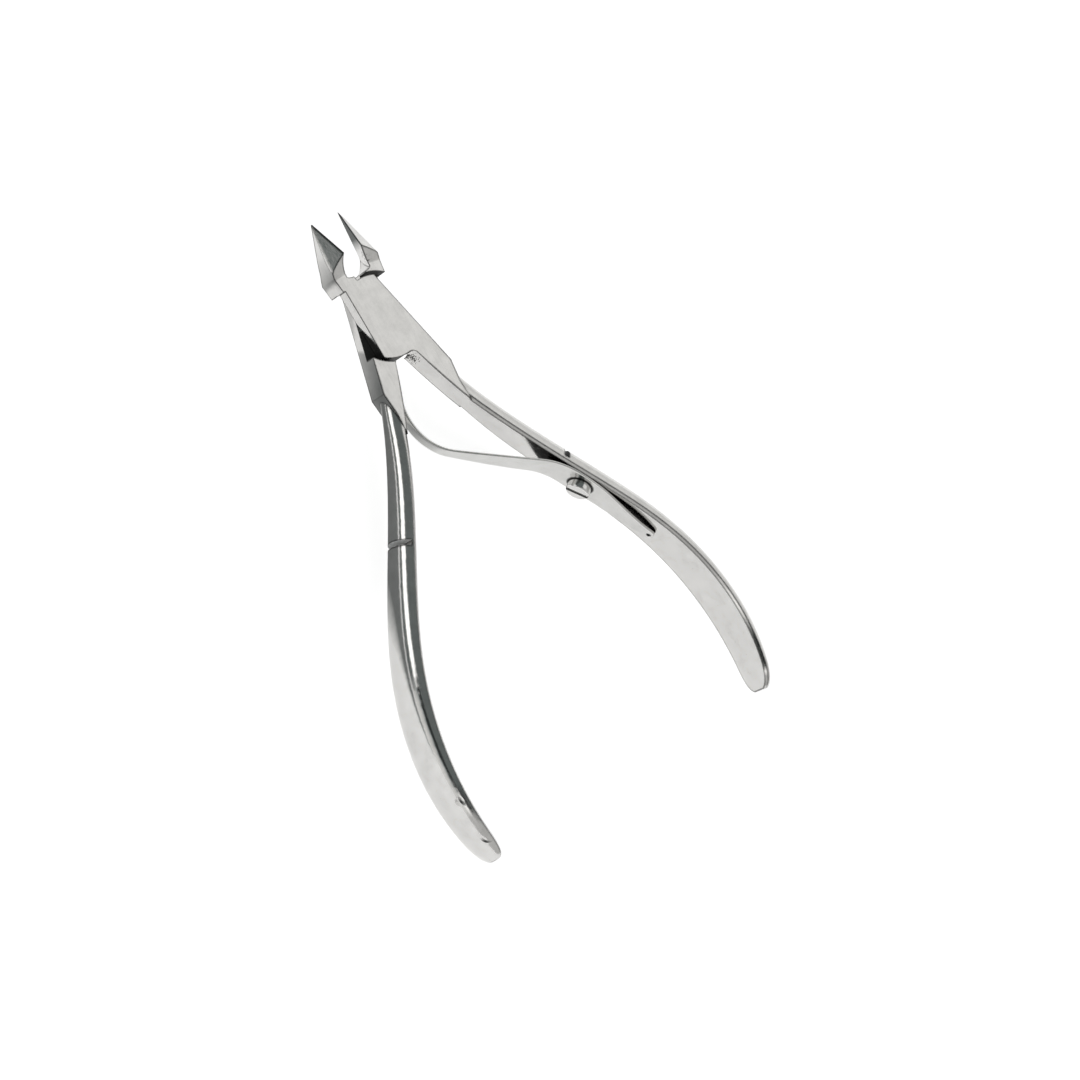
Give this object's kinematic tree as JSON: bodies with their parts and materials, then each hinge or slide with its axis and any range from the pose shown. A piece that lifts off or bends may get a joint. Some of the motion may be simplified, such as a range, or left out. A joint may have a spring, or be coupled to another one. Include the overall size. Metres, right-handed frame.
{
  "type": "cuticle nipper",
  "caption": "Cuticle nipper with lap-jointed steel levers, bevelled cutting jaws, and a screwed leaf spring that holds the handles open.",
  "frame": {"origin": "on the pivot axis, at the joint's back face", "axes": "+Y runs from the pivot to the jaw tips, +Z to the joint's front face along the pivot axis, and +X to the right lever's handle"},
  "size_m": [0.0674, 0.1009, 0.0091],
  "materials": {
    "lever_steel": "polished",
    "rivet_steel": "polished",
    "spring_steel": "polished",
    "screw_steel": "polished"
  },
  "bodies": {
    "right_lever_body": {"right_lever": "lever_steel", "pivot_rivet": "rivet_steel", "leaf_spring": "spring_steel", "spring_screw": "screw_steel"},
    "left_lever_body": {"left_lever": "lever_steel"}
  },
  "joints": [
    {"name": "pivot", "type": "hinge", "parent": "right_lever_body", "child": "left_lever_body", "pos_m": [0, 0, 0.00205], "axis": [0, 0, 1], "range_deg": [0, 17], "stiffness_Nm_per_rad": 1.5, "deforming": ["leaf_spring"]}
  ]
}
